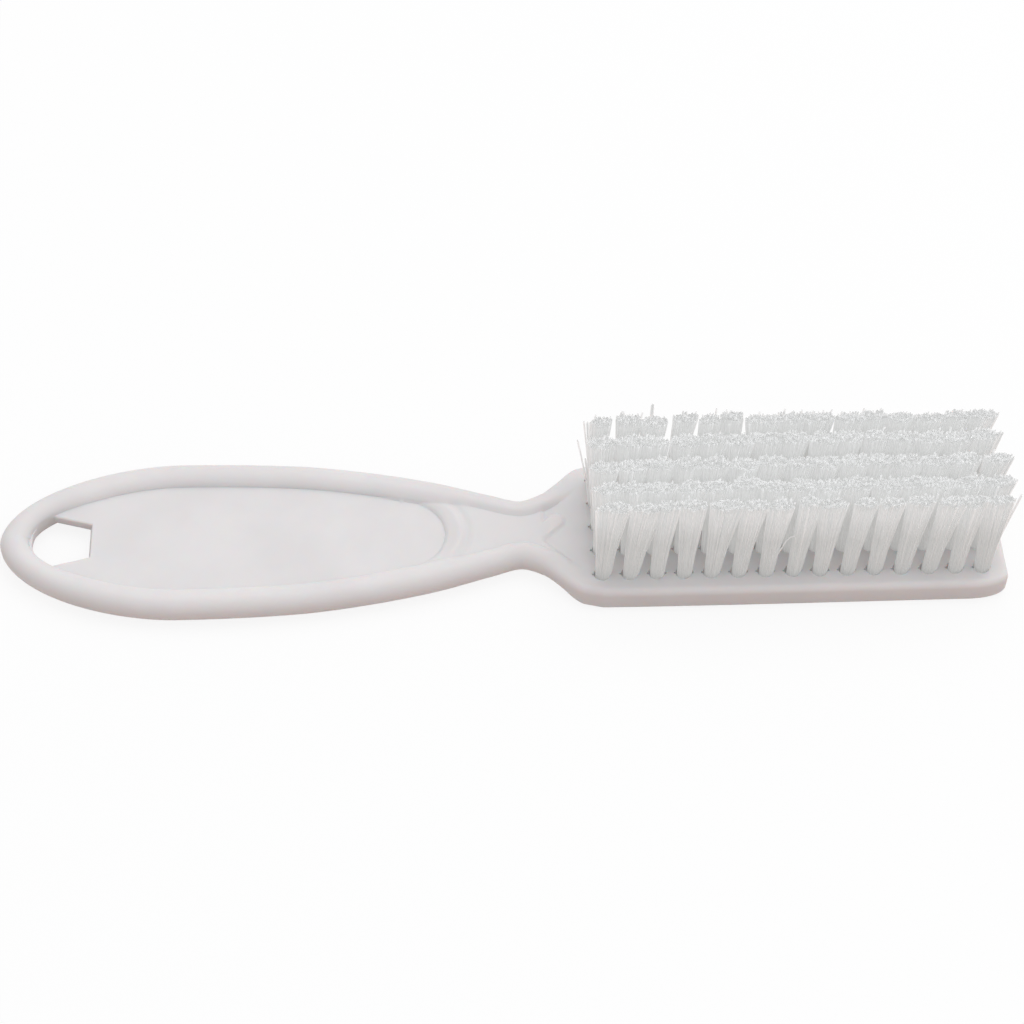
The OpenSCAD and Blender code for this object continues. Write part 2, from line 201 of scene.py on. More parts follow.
def rim_stations():
    """Places on the rim's centre line, their outward directions and half the rim's width there,
    and how many of them have sections that run right across the brush."""
    step = math.radians(TIP_NUDGE)
    tip = [math.radians(a) for a in np.arange(TIP_STEP, TIP_END, TIP_STEP)]
    places = [tip_place(a, step) for a in tip]
    xs = np.concatenate([
        np.arange(WIDE_X, ARCH_X - ARCH_R, HANDLE_STEP),
        np.arange(ARCH_X - ARCH_R, FLOOR_X + 1, FINE_STEP),
        np.arange(FLOOR_X + 1, NECK_X + 2, NECK_STEP),
        np.arange(NECK_X + 2, DECK_X - 0.01, FINE_STEP),
        [DECK_X],
    ])
    places += [side_place(x) for x in xs]
    across = len(places)
    places += [side_place(x) for x in np.linspace(DECK_X, LENGTH - CORNER_L, HEAD_STATIONS)[1:-1]]
    places += [corner_place(a) for a in np.radians(np.arange(90, -1, -CORNER_STEP))]
    centre, normal, half = (np.array(v) for v in zip(*places))
    return centre, normal, half[:, None], across


# The panel's round end: a wall, a low crest and a groove
ARCH_WALL, ARCH_FLARE = 2.3, 0.35
CREST_RISE, CREST_AT, CREST_HALF = 0.16, 2.5, 1.3
GROOVE_DROP, GROOVE_AT, GROOVE_HALF = 0.22, 1.3, 1.2

# The fork where the neck's floor meets the head's plateau
FORK_X, FORK_DROP, FORK_EDGE = NECK_X + 4.9, 0.35, 0.9
PLATEAU_Z = FLOOR_Z - FORK_DROP
PRONG_RISE, PRONG_RUN = 0.25, 3.65
PRONG_A = np.array([[NECK_X + 2.9, -1.1], [NECK_X + 6.25, 1.75]])
PRONG_A_R = 1.4
PRONG_B = np.array([[NECK_X + 3.7, -3.2], [NECK_X + 7.7, -7.6]])
PRONG_B_R = 0.5
# Where the rim starts to turn into the head's edge, on top and below
EDGE_START, BACK_EDGE_START = NECK_X + 3, NECK_X + 5.5


def round_end(x, y, c, r):
    """How far outside a round-ended shape a place is. The end's centre is at x = c."""
    return np.where(x > c, np.hypot(x - c, y) - r, np.abs(y) - r - (c - x) * ARCH_FLARE)


def capsule(x, y, s, r):
    """How far outside a bar of radius r, with ends s, a place is."""
    d = s[1] - s[0]
    t = np.clip(((x - s[0, 0]) * d[0] + (y - s[0, 1]) * d[1]) / (d @ d), 0, 1)
    return np.hypot(x - s[0, 0] - d[0] * t, y - s[0, 1] - d[1] * t) - r


def arch_share(x, y):
    """How far up the panel's end wall a place is. The wall is steep at its foot and round above."""
    return arc(1 - np.clip(round_end(x, y, ARCH_X - ARCH_R, ARCH_R) / ARCH_WALL, 0, 1))


def neck_top(x, y):
    """Height of the panel, its round end and the neck's floor."""
    u = round_end(x, y, ARCH_X - ARCH_R, ARCH_R)
    v = round_end(x, y, FLOOR_X - FLOOR_R, FLOOR_R)
    z = mix(WEB_TOP, FLOOR_Z, arch_share(x, y))
    z = z + CREST_RISE * bump((u - CREST_AT) / CREST_HALF)
    z = z - GROOVE_DROP * bump((v + GROOVE_AT) / GROOVE_HALF)
    return np.where(u <= 0, WEB_TOP, z)


def head_top(x, y):
    """Height of the fork, the plateau below it and the head's deck."""
    plateau = mix(PLATEAU_Z, HEAD_T, np.clip((x - FORK_X) / (DECK_X - FORK_X), 0, 1))
    d = np.minimum(capsule(x, y, PRONG_A, PRONG_A_R), capsule(x, y, PRONG_B, PRONG_B_R))
    d = np.minimum(d, x - FORK_X + FORK_EDGE)
    prong = FLOOR_Z + PRONG_RISE * smooth((x - FORK_X + PRONG_A_R) / PRONG_RUN)
    return mix(plateau, np.maximum(prong, plateau), smooth(0.5 - d / FORK_EDGE))


def top_z(x, y):
    """Height of the top inside the rim."""
    return np.where(x < NECK_X, neck_top(x, y), head_top(x, y))


def back_z(x, y):
    """Height of the back inside the rim."""
    neck = mix(WEB_BACK, NECK_BACK, arch_share(x, y))
    head = mix(NECK_BACK, 0, smooth((x - NECK_X) / (DECK_X - NECK_X)))
    return np.where(x < NECK_X, neck, head)


def edge_drop(s, half, r):
    """How far a rounded edge of radius r drops across half the rim's width."""
    d = (1 - s) * half / r
    return np.where(d >= 1, 0, r * (1 - arc(1 - d)))


def edge_share(x, start):
    """How far the rim has turned into the head's plain edge."""
    return smooth((x - start) / (DECK_X - start))


def fillet(x, y):
    """How far the rim's foot is rounded: more along the neck than along the panel."""
    return mix(FOOT_R, NECK_FOOT_R, arch_share(x, y))


def rim_top(s, x, y, half, station_x):
    """Height of the rim's top across its section, from inside to outside."""
    pinch = NECK_PINCH * smooth((station_x - PINCH_START) / (PINCH_END - PINCH_START))
    crown = WEB_TOP + (RIM_H - WEB_TOP) * arc(s * (1 + pinch))
    outer = RIM_H - OUTER_H + OUTER_H * arc(s)
    inside = np.where(s > 0, outer, soft_max(crown, top_z(x, y), fillet(x, y) * smooth(-s * 4)))
    return mix(inside, top_z(x, y) - edge_drop(s, half, EDGE_R), edge_share(station_x, EDGE_START))


def rim_back(s, x, y, half, station_x):
    """Height of the rim's underside across its section."""
    crown = WEB_BACK - WEB_BACK * arc(s)
    outer = OUTER_H - OUTER_H * arc(s)
    inside = np.where(s > 0, outer, -soft_max(-crown, -back_z(x, y), fillet(x, y) * smooth(-s * 4)))
    edge = back_z(x, y) + edge_drop(s, half, BACK_EDGE_R)
    return mix(inside, edge, edge_share(station_x, BACK_EDGE_START))


def mesh_piece(name, vertices, faces, material):
    """A mesh object made of vertices in millimetres, which rides on the brush."""
    mesh = bpy.data.meshes.new(name)
    mesh.from_pydata([tuple(v) for v in np.asarray(vertices) * MM], [], faces)
    mesh.validate()
    mesh.materials.append(material)
    piece = bpy.data.objects.new(name, mesh)
    bpy.context.scene.collection.objects.link(piece)
    for polygon in mesh.polygons:
        polygon.use_smooth = True
    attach(piece, "root")
    return piece


def side_points(centre, normal, depth, sign, height, rim_height):
    """Points from the outside of one side towards the axis, at each station."""
    rim = np.cos(np.linspace(0, math.pi, RIM_POINTS))
    inner = np.linspace(0, 1, INNER_POINTS)[1:-1]
    x = centre[:, :1] + normal[:, :1] * depth * rim
    y = (centre[:, 1:] + normal[:, 1:] * depth * rim) * sign
    z = rim_height(np.broadcast_to(rim, x.shape), x, y, depth, centre[:, :1])
    xi = np.repeat(x[:, -1:], len(inner), axis=1)
    yi = y[:, -1:] * (1 - inner)
    flat = np.stack([xi, yi, height(xi, yi)], axis=-1)
    return np.concatenate([np.stack([x, y, z], axis=-1), flat], axis=1)


def body_loops():
    """Points round the body at each station, and how many stations run right across it."""
    centre, normal, depth, across = rim_stations()

    def side(*args):
        return side_points(centre, normal, depth, *args)

    def axis(height):
        x = (centre - normal * depth)[:, 0]
        return np.stack([x, 0 * x, height(x, 0 * x)], axis=-1)[:, None]

    top_left, top_right = side(1, top_z, rim_top), side(-1, top_z, rim_top)
    back_left, back_right = side(1, back_z, rim_back), side(-1, back_z, rim_back)
    loops = np.concatenate([
        top_left, axis(top_z), top_right[:, ::-1], back_right, axis(back_z), back_left[:, ::-1],
    ], axis=1)
    return loops + [TIP_X, 0, 0], across


def corner_indices(around):
    """Vertex numbers by station and step inwards: left top, right top, right back, left back."""
    half = around // 2 - 1
    return (
        lambda i, k: i * around + k,
        lambda i, k: i * around + half - k,
        lambda i, k: i * around + half + 1 + k,
        lambda i, k: i * around + around - 1 - k,
    )


def band_faces(count, around, across):
    """The body's skin: whole loops along the handle and neck, and the rim alone round the head."""
    lt, rt, rb, lb = corner_indices(around)
    faces = []
    for i in range(across - 1):
        a = i * around
        for j in range(around):
            m = (j + 1) % around
            faces.append((a + j, a + m, a + around + m, a + around + j))
    for i in range(across - 1, count - 1):
        for k in range(RIM_POINTS - 1):
            faces.append((lt(i, k), lt(i, k + 1), lt(i + 1, k + 1), lt(i + 1, k)))
            faces.append((rt(i, k + 1), rt(i, k), rt(i + 1, k), rt(i + 1, k + 1)))
            faces.append((rb(i, k), rb(i, k + 1), rb(i + 1, k + 1), rb(i + 1, k)))
            faces.append((lb(i, k + 1), lb(i, k), lb(i + 1, k), lb(i + 1, k + 1)))
        faces.append((rt(i, 0), rb(i, 0), rb(i + 1, 0), rt(i + 1, 0)))
        faces.append((lb(i, 0), lt(i, 0), lt(i + 1, 0), lb(i + 1, 0)))
    return faces


def cap_faces(last, around):
    """Caps across the axis, at the tip and at the head's end."""
    lt, rt, rb, lb = corner_indices(around)
    n = RIM_POINTS - 1
    faces = []
    for k in range(n - 1):
        faces.append((lt(0, k), rt(0, k), rt(0, k + 1), lt(0, k + 1)))
        faces.append((rb(0, k), lb(0, k), lb(0, k + 1), rb(0, k + 1)))
    faces.append((lt(0, 0), lb(0, 0), rb(0, 0), rt(0, 0)))
    faces.append((rt(0, n - 1), *range(rt(0, n), lt(0, n) - 1, -1), lt(0, n - 1)))
    faces.append((lb(0, n - 1), *range(lb(0, n), rb(0, n) - 1, -1), rb(0, n - 1)))
    for k in range(n):
        faces.append((rt(last, k), lt(last, k), lt(last, k + 1), rt(last, k + 1)))
        faces.append((lb(last, k), rb(last, k), rb(last, k + 1), lb(last, k + 1)))
    faces.append((lb(last, 0), lt(last, 0), rt(last, 0), rb(last, 0)))
    return faces


def deck_faces(first, last, around):
    """The head's flat deck and back."""
    lt, rt, rb, lb = corner_indices(around)
    n = RIM_POINTS - 1
    rest = range(first + 1, last + 1)
    back = range(last, first, -1)
    deck = (*(rt(i, n) for i in rest), *(lt(i, n) for i in back))
    under = (*(lb(i, n) for i in rest), *(rb(i, n) for i in back))
    return [
        (*deck, *range(lt(first, n), rt(first, n) + 1)),
        (*under, *range(rb(first, n), lb(first, n) + 1)),
    ]


def body_mesh():
    """Vertices and faces of the moulded body before its holes are cut."""
    loops, across = body_loops()
    count, around = loops.shape[:2]
    faces = band_faces(count, around, across)
    faces += cap_faces(count - 1, around)
    faces += deck_faces(across - 1, count - 1, around)
    used = sorted({v for f in faces for v in f})
    place = {v: k for k, v in enumerate(used)}
    return loops.reshape(-1, 3)[used], [tuple(place[v] for v in f) for f in faces]


def prism(outlines, levels):
    """A closed loft through outlines of equal length, one at each level."""
    n = len(outlines[0])
    points = [(x, y, z) for outline, z in zip(outlines, levels) for x, y in outline]
    faces = [tuple(range(n - 1, -1, -1)), tuple(range(len(points) - n, len(points)))]
    for i in range(len(levels) - 1):
        for j in range(n):
            m = (j + 1) % n
            faces.append((i * n + j, i * n + m, (i + 1) * n + m, (i + 1) * n + j))
    return points, faces


# The hang hole: where it starts, its round end's radius and length, its length and its end's width
HANG_X, HANG_R, HANG_ROUND_L, HANG_L, HANG_END_W = 5.5, 6.0, 3.5, 9.8, 7.2
# The hole's end wall leans away by this much at its top, and the round end, which runs along the
# rim's foot, is eased by this share of the rest
HANG_DRAFT = 0.35
HANG_ROUND_EASE = 0.1
# Profile of the hole's rounded top edge: height below the panel and how far the hole widens there
HANG_EDGE = ((0.3, 0), (0.16, 0.04), (0.05, 0.14), (-0.01, 0.3))
# How far the holes' other edges are eased, the points round a round hole, and how far cutters overlap
HANG_BACK_EASE, TUFT_EASE = 0.12, 0.06
HOLE_POINTS = 41
OVERLAP = 0.01
# Edges sharper than this, in degrees, stay sharp
SHARP_ANGLE = 32


def hang_outline(grow, end_grow):
    """The hang hole's outline: a round left end, and straight sides that taper to a straight end."""
    r = HANG_R + grow * HANG_ROUND_EASE
    corner_y = math.sqrt(HANG_R**2 - (HANG_R - HANG_ROUND_L) ** 2) + grow
    start = math.pi - math.asin(corner_y / r)
    round_part = [
        (HANG_X + HANG_R + r * math.cos(a), r * math.sin(a))
        for a in np.linspace(start, 2 * math.pi - start, HOLE_POINTS)
    ]
    end_x = HANG_X + HANG_L + end_grow
    return round_part + [(end_x, -HANG_END_W / 2 - grow), (end_x, HANG_END_W / 2 + grow)]


def hang_cutter():
    """The hang hole's cutter, with a leaning end wall and eased edges."""
    ease = HANG_BACK_EASE
    steps = [(-1, ease, ease), (WEB_BACK - OVERLAP, ease, ease), (WEB_BACK + ease, 0, 0)]
    steps += [(WEB_TOP - drop, grow, HANG_DRAFT + grow) for drop, grow in HANG_EDGE]
    last_grow = HANG_EDGE[-1][1]
    steps.append((RIM_H + 1, last_grow, HANG_DRAFT + last_grow))
    points, faces = prism([hang_outline(g, e) for _, g, e in steps], [z for z, _, _ in steps])
    return np.array(points) + [TIP_X, 0, 0], faces


def tuft_place(c, r):
    """Centre of a tuft's hole on the head."""
    return np.array([TIP_X + FIRST_X + c * PITCH_X, (r - (ROWS - 1) / 2) * PITCH_Y])


def tuft_hole_cutter(c, r):
    """A blind hole with an eased mouth, and the slot that its anchor cuts through the hole's rim."""
    turns = np.linspace(0, 2 * math.pi, HOLE_POINTS)[:-1]
    narrow, wide = (
        [(k * math.cos(a), k * math.sin(a)) for a in turns] for k in (HOLE_R, HOLE_R + TUFT_EASE)
    )
    levels = [HEAD_T - HOLE_DEPTH, HEAD_T - TUFT_EASE, HEAD_T + OVERLAP / 2, HEAD_T + 1]
    hole = prism([narrow, narrow, wide, wide], levels)
    x, y = ANCHOR_L / 2, ANCHOR_T / 2
    slot = prism([[(-x, -y), (x, -y), (x, y), (-x, y)]] * 2, [ANCHOR_Z, HEAD_T + 0.9])
    at = np.array([*tuft_place(c, r), 0])
    return [(np.array(p) + at, f) for p, f in (hole, slot)]


def cut(piece, cutters):
    """Cuts closed shapes out of a piece."""
    points, faces = [], []
    for p, f in cutters:
        faces += [tuple(v + len(points) for v in face) for face in f]
        points += list(p)
    mesh = bpy.data.meshes.new("cutter")
    mesh.from_pydata([tuple(v) for v in np.array(points) * MM], [], faces)
    cutter = bpy.data.objects.new("cutter", mesh)
    bpy.context.scene.collection.objects.link(cutter)
    modifier = piece.modifiers.new("cut", "BOOLEAN")
    modifier.operation = "DIFFERENCE"
    modifier.solver = "MANIFOLD"
    modifier.object = cutter
    bpy.context.view_layer.update()
    result = bpy.data.meshes.new_from_object(
        piece.evaluated_get(bpy.context.evaluated_depsgraph_get())
    )
    piece.modifiers.clear()
    result.name = piece.name
    piece.data = result
    bpy.data.objects.remove(cutter)


def brush_body():
    """The moulded body, with its tuft holes, anchor slots and hang hole cut."""
    points, faces = body_mesh()
    piece = mesh_piece("moulded_body", points, faces, body_plastic())
    holes = [tuft_hole_cutter(c, r) for c in range(COLUMNS) for r in range(ROWS)]
    cut(piece, [hang_cutter()])
    cut(piece, [hole for hole, _ in holes])
    cut(piece, [slot for _, slot in holes])
    for polygon in piece.data.polygons:
        polygon.use_smooth = True
    piece.data.set_sharp_from_angle(angle=math.radians(SHARP_ANGLE))
    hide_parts("brush_body")


# Materials. A noise's values run about from NOISE_LOW to NOISE_HIGH.
NOISE_LOW, NOISE_HIGH = 0.35, 0.65
# The body's noises as scale and detail, its two tints, and its range of roughness
BODY_CLOUD, BODY_SMEAR, BODY_GRAIN = (90, 3), (400, 2), (3500, 2)
BODY_DARK, BODY_LIGHT = (0.715, 0.695, 0.697), (0.745, 0.725, 0.727)
BODY_ROUGHNESS = (0.42, 0.54)
# The bump of the moulded grain, with its depth in metres
GRAIN_STRENGTH, GRAIN_DEPTH = 0.12, 0.00004
# How far light goes into the plastics, in metres
SUBSURFACE_SCALE = 0.0012
WIRE_MARKS = (2500, 2)
WIRE_DARK, WIRE_LIGHT = (0.45, 0.44, 0.42), (0.62, 0.61, 0.58)
WIRE_ROUGHNESS = (0.3, 0.5)


def new_material(name):
    """A new material with its nodes, links and shader."""
    material = bpy.data.materials.new(name)
    material.use_nodes = True
    nodes = material.node_tree.nodes
    return material, nodes, material.node_tree.links, nodes["Principled BSDF"]


def noise(nodes, links, scale, detail):
    """A noise texture in the brush's own coordinates."""
    place = nodes.new("ShaderNodeTexCoord")
    texture = nodes.new("ShaderNodeTexNoise")
    texture.inputs["Scale"].default_value = scale
    texture.inputs["Detail"].default_value = detail
    links.new(place.outputs["Object"], texture.inputs["Vector"])
    return texture


def tone_ramp(nodes, tones):
    """A ramp through tones, each given by its position."""
    ramp = nodes.new("ShaderNodeValToRGB")
    stops = ramp.color_ramp.elements
    for share, _ in tones[1:-1]:
        stops.new(share)
    for stop, (share, tone) in zip(stops, tones):
        stop.position = share
        stop.color = (*tone, 1)
    return ramp


def tint(nodes, links, texture, dark, light, socket):
    """Colours between two tints, by a texture."""
    ramp = tone_ramp(nodes, ((NOISE_LOW, dark), (NOISE_HIGH, light)))
    links.new(texture.outputs["Fac"], ramp.inputs["Fac"])
    links.new(ramp.outputs["Color"], socket)


def roughen(nodes, links, texture, low, high, socket):
    """Roughness between two values, by a texture."""
    span = nodes.new("ShaderNodeMapRange")
    span.inputs["To Min"].default_value = low
    span.inputs["To Max"].default_value = high
    links.new(texture.outputs["Fac"], span.inputs["Value"])
    links.new(span.outputs["Result"], socket)


def body_plastic():
    """White moulded polypropylene: satin, faintly mottled, with a fine moulded grain."""
    material, nodes, links, shader = new_material("body_plastic")
    cloud = noise(nodes, links, *BODY_CLOUD)
    tint(nodes, links, cloud, BODY_DARK, BODY_LIGHT, shader.inputs["Base Color"])
    smear = noise(nodes, links, *BODY_SMEAR)
    roughen(nodes, links, smear, *BODY_ROUGHNESS, shader.inputs["Roughness"])
    shader.inputs["Specular IOR Level"].default_value = 0.35
    shader.inputs["Subsurface Weight"].default_value = 0.7
    shader.inputs["Subsurface Radius"].default_value = (1.0, 0.55, 0.4)
    shader.inputs["Subsurface Scale"].default_value = SUBSURFACE_SCALE
    grain = nodes.new("ShaderNodeBump")
    grain.inputs["Strength"].default_value = GRAIN_STRENGTH
    grain.inputs["Distance"].default_value = GRAIN_DEPTH
    links.new(noise(nodes, links, *BODY_GRAIN).outputs["Fac"], grain.inputs["Height"])
    links.new(grain.outputs["Normal"], shader.inputs["Normal"])
    return material


BRISTLE_L = 16.5
# Painted shade on the bristles' sides: their tones by share of the height above the deck, darker low in
# the tufts where shade falls, lighter towards the tips, and darker again at the very tips, which catch the
# most light
BRISTLE_SHADED_TONES = (
    (0, (0.43, 0.425, 0.42)), (0.5, (0.47, 0.47, 0.465)), (0.8, (0.65, 0.655, 0.66)),
    (0.93, (0.68, 0.685, 0.69)), (1, (0.62, 0.625, 0.63)),
)
# Painted shade on the cut ends, which face up: a darker tone that tones down the light they catch
CUT_END_SHADED_TONE = (0.3, 0.305, 0.31)
STREAKS, STREAK_TONE = (700, 2), (0.95, 0.955, 0.955)
# Painted light: how strongly the bristles glow
BRISTLE_PAINTED_GLOW = 0.2


def bristle_shade_and_streaks(nodes, links):
    """The tone of the filaments' sides: painted shade by height, with faint streaks."""
    place = nodes.new("ShaderNodeTexCoord")
    split = nodes.new("ShaderNodeSeparateXYZ")
    links.new(place.outputs["Object"], split.inputs["Vector"])
    height = nodes.new("ShaderNodeMapRange")
    height.inputs["From Min"].default_value = HEAD_T * MM
    height.inputs["From Max"].default_value = (HEAD_T + BRISTLE_L) * MM
    links.new(split.outputs["Z"], height.inputs["Value"])
    # Painted shade by height: darker low in the tuft and at the very tips
    tone = tone_ramp(nodes, BRISTLE_SHADED_TONES)
    links.new(height.outputs["Result"], tone.inputs["Fac"])
    streak = tone_ramp(nodes, ((NOISE_LOW, STREAK_TONE), (NOISE_HIGH, (1, 1, 1))))
    links.new(noise(nodes, links, *STREAKS).outputs["Fac"], streak.inputs["Fac"])
    shade = nodes.new("ShaderNodeMix")
    shade.data_type = "RGBA"
    shade.blend_type = "MULTIPLY"
    shade.inputs["Factor"].default_value = 1
    links.new(tone.outputs["Color"], shade.inputs["A"])
    links.new(streak.outputs["Color"], shade.inputs["B"])
    return shade.outputs["Result"]


def bristle_nylon():
    """Milky translucent nylon filament with painted shade: its sides darken by height, and its cut ends,
    which face up, take a darker tone against the light they catch.
    """
    material, nodes, links, shader = new_material("bristle_nylon")
    sides = bristle_shade_and_streaks(nodes, links)
    # Painted shade on faces that point up, by the true normal's height
    facing = nodes.new("ShaderNodeSeparateXYZ")
    links.new(nodes.new("ShaderNodeNewGeometry").outputs["True Normal"], facing.inputs["Vector"])
    ends = nodes.new("ShaderNodeMix")
    ends.data_type = "RGBA"
    ends.inputs["B"].default_value = (*CUT_END_SHADED_TONE, 1)
    links.new(facing.outputs["Z"], ends.inputs["Factor"])
    links.new(sides, ends.inputs["A"])
    links.new(ends.outputs["Result"], shader.inputs["Base Color"])
    shader.inputs["Roughness"].default_value = 0.42
    shader.inputs["Specular IOR Level"].default_value = 0.15
    shader.inputs["Subsurface Weight"].default_value = 1.0
    shader.inputs["Subsurface Radius"].default_value = (1.0, 1.0, 1.0)
    shader.inputs["Subsurface Scale"].default_value = SUBSURFACE_SCALE
    # Painted light: a glow that stands in for the light that the filaments pipe and pass on, past the few
    # bounces that a render follows
    shader.inputs["Emission Color"].default_value = (1.0, 1.0, 0.985, 1)
    shader.inputs["Emission Strength"].default_value = BRISTLE_PAINTED_GLOW
    return material


def anchor_wire():
    """Plated flat wire with fine drawing marks."""
    material, nodes, links, shader = new_material("anchor_wire")
    shader.inputs["Metallic"].default_value = 1.0
    marks = noise(nodes, links, *WIRE_MARKS)
    tint(nodes, links, marks, WIRE_DARK, WIRE_LIGHT, shader.inputs["Base Color"])
    roughen(nodes, links, marks, *WIRE_ROUGHNESS, shader.inputs["Roughness"])
    return material


# Bristles
FILAMENTS, FILAMENT_R, FILAMENT_SIDES = 170, 0.118, 4
TUFT_R, TUFT_SHIFT = 1.1, (0.13, 0.03)
# Turn from one filament's root to the next, and how deep the roots stand, as a share of the hole
GOLDEN_TURN = math.pi * (3 - math.sqrt(5))
ROOT_SHARE = 0.9
ROOT_Z = HEAD_T - ROOT_SHARE * HOLE_DEPTH
# Shares of the height where a filament has points, and how much thicker it is there than at its root
LEVELS = (0, 0.33, 0.67, 0.98, 1.0)
SWELL = (1, 1.03, 1.18, 1.42, 1.3)
# How much a tuft spreads towards its tips along the head, and across it in each row
SPREAD_X = 2.4
SPREADS_Y = (0.95, 1.2, 1.2, 1.2, 1.0)
# Lean along the head in degrees, and spread, of the tufts of the near and far rows as photographed
ROW_LEANS = {
    0: (4.4, 7.5, 4.2, 1.6, 4.3, 5.4, 4.5, 5.2, 1.6, 4.8, 4, 4.6, 6.5, 3.3, 1.2),
    4: (1.3, 1.2, 0.3, 3, 1.6, -1.8, 0.4, 1.5, 1.8, 5, 2, 2.4, 3.6, 4.2, 3.6),
}
ROW_SPREADS = {
    0: (2.4, 2.3, 1.75, 2, 2.6, 1.9, 1.9, 1.75, 2.2, 1.8, 1.9, 2, 2, 2, 2.5),
    4: (1.55, 2, 2.1, 1.9, 1.75, 1.8, 3.0, 2.5, 2.5, 2.7, 2.4, 2.4, 2.5, 2.3, 2.2),
}
# The other rows' mean lean and its scatter, in degrees, and how much further in millimetres the
# tufts reach at the head's two ends
MIDDLE_LEAN, MIDDLE_LEAN_SPAN = 2, 0.9
END_LEANS, START_LEAN = (0, 0.8, 1.1, 0.4, 0), -0.4
# Each row's reach across the head in millimetres, and its scatter
LEANS_Y, LEAN_Y_SPAN = (1.1, 0.1, 0, 0, -0.5), 0.2
# Scatter of the filaments' roots, tips, bows and heights, and of the tufts' heights
ROOT_SPAN, TIP_SPAN, BOW_SPAN = 0.03, 0.07, 0.08
FILAMENT_RISE_SPAN, TUFT_RISE_SPAN = 0.05, 0.15
# How a filament's reach grows with its height
REACH_POWER = 1.1
# Share of the filaments that stray a little, and the scatter of their tips
WILD_SHARE, WILD_SPAN = 0.03, 0.4
HEIGHT_LIMIT, STRAY_LIMIT = 17.4, 17.55
# Share of the filaments that stand above the rest, and by how much
TALL_SHARE, TALL_BY = 0.06, (0.2, 0.8)
# Clumps of neighbouring filaments: waves across a tuft's root, per millimetre, lean and rise
CLUMP_WAVES, CLUMP_WAVE = 3, 6
CLUMP_LEAN, CLUMP_RISE = 0.1, 0.15
# Strands that stand apart: where they leave the tuft, and the scatter of root, tip and height
STRAY_ROOT_SHARE, STRAY_ROOT_SPAN = 0.9, 0.08
STRAY_TIP_SPAN, STRAY_RISE_SPAN = (0.25, 0.125), 0.12
# Each group: column, row, how far they reach along X and Y, extra height, number
STRAYS = (
    (0, 4, -2.0, 0.1, -1.3, 4), (2, 4, -0.1, 2.0, 1.0, 4), (4, 4, 1.35, 0.9, 1.0, 1),
    (7, 4, -1.2, 0.8, 0.9, 1), (1, 4, 2.3, 0.5, 0.4, 2), (0, 3, -4.3, 0.6, -0.3, 1),
    (0, 3, -2.9, 0.2, -4.6, 1), (14, 0, 4.0, 1.6, 0.7, 2), (14, 2, 3.9, 0.4, 0, 3),
    (14, 3, 3.3, 0.4, 0.3, 2),
)
# One broken strand that bends over, from the near row's seventh tuft
BENT_TUFT = (6, 0)
BENT = ((0.9, -0.4, -3), (1.2, -0.8, 4.5), (2.5, -1.0, 9.2), (3.1, -0.9, 10.1), (3.9, -0.9, 10.5))


def tuft_lean(c, r, rng):
    """How far a tuft's tips lean along X and Y."""
    noise_x, noise_y = rng.normal(0, 1, 2)
    if r in ROW_LEANS:
        x = BRISTLE_L * math.tan(math.radians(ROW_LEANS[r][c]))
    else:
        x = BRISTLE_L * math.tan(math.radians(MIDDLE_LEAN + MIDDLE_LEAN_SPAN * noise_x))
        x += END_LEANS[r] * (max(0, c - (COLUMNS - 4)) / 3) ** 2 + START_LEAN * max(0, 2 - c) / 2
    return np.array([x, LEANS_Y[r] + LEAN_Y_SPAN * noise_y])


def set_strays(c, r, rng, base, reach, height):
    """Moves a few of a tuft's filaments to where single strands stand apart."""
    first = 0
    for column, row, x, y, extra, count in STRAYS:
        if (column, row) != (c, r):
            continue
        way = np.array([x, y])
        some = slice(first, first + count)
        root = STRAY_ROOT_SHARE * TUFT_R * way / np.linalg.norm(way)
        base[some] = root + rng.normal(0, STRAY_ROOT_SPAN, (count, 2))
        reach[some] = way + rng.normal(0, 1, (count, 2)) * STRAY_TIP_SPAN
        rise = extra + rng.normal(0, STRAY_RISE_SPAN, count)
        height[some] = np.minimum(BRISTLE_L + rise, STRAY_LIMIT)
        first += count


def clumped(rng, base, size):
    """A length that varies from one small clump of neighbouring filaments to the next."""
    waves = rng.normal(0, CLUMP_WAVE, (2, CLUMP_WAVES))
    turns = rng.uniform(0, 2 * math.pi, CLUMP_WAVES)
    return size * np.sin(base @ waves + turns).sum(axis=1)


def filament_ends(c, r, rng):
    """Where a tuft's filaments start and how far their tips reach, seen from above, and their heights."""
    k = np.arange(FILAMENTS) + 0.5
    spread = TUFT_R * np.sqrt(k / FILAMENTS)
    turn = k * GOLDEN_TURN + rng.uniform(0, 2 * math.pi)
    base = np.stack([spread * np.cos(turn), spread * np.sin(turn)], axis=-1)
    base += rng.normal(0, ROOT_SPAN, base.shape)
    spread_x = ROW_SPREADS[r][c] if r in ROW_SPREADS else SPREAD_X
    reach = base * (spread_x, SPREADS_Y[r]) + tuft_lean(c, r, rng) + rng.normal(0, TIP_SPAN, base.shape)
    wild = rng.random(FILAMENTS) < WILD_SHARE
    reach[wild] += rng.normal(0, WILD_SPAN, (wild.sum(), 2))
    reach += np.stack([clumped(rng, base, CLUMP_LEAN), clumped(rng, base, CLUMP_LEAN)], axis=-1)
    height = BRISTLE_L + rng.normal(0, FILAMENT_RISE_SPAN, FILAMENTS) + rng.normal(0, TUFT_RISE_SPAN)
    height += clumped(rng, base, CLUMP_RISE)
    tall = rng.random(FILAMENTS) < TALL_SHARE
    height[tall] += rng.uniform(*TALL_BY, tall.sum())
    height = np.minimum(height, HEIGHT_LIMIT)
    set_strays(c, r, rng, base, reach, height)
    return base, reach, height


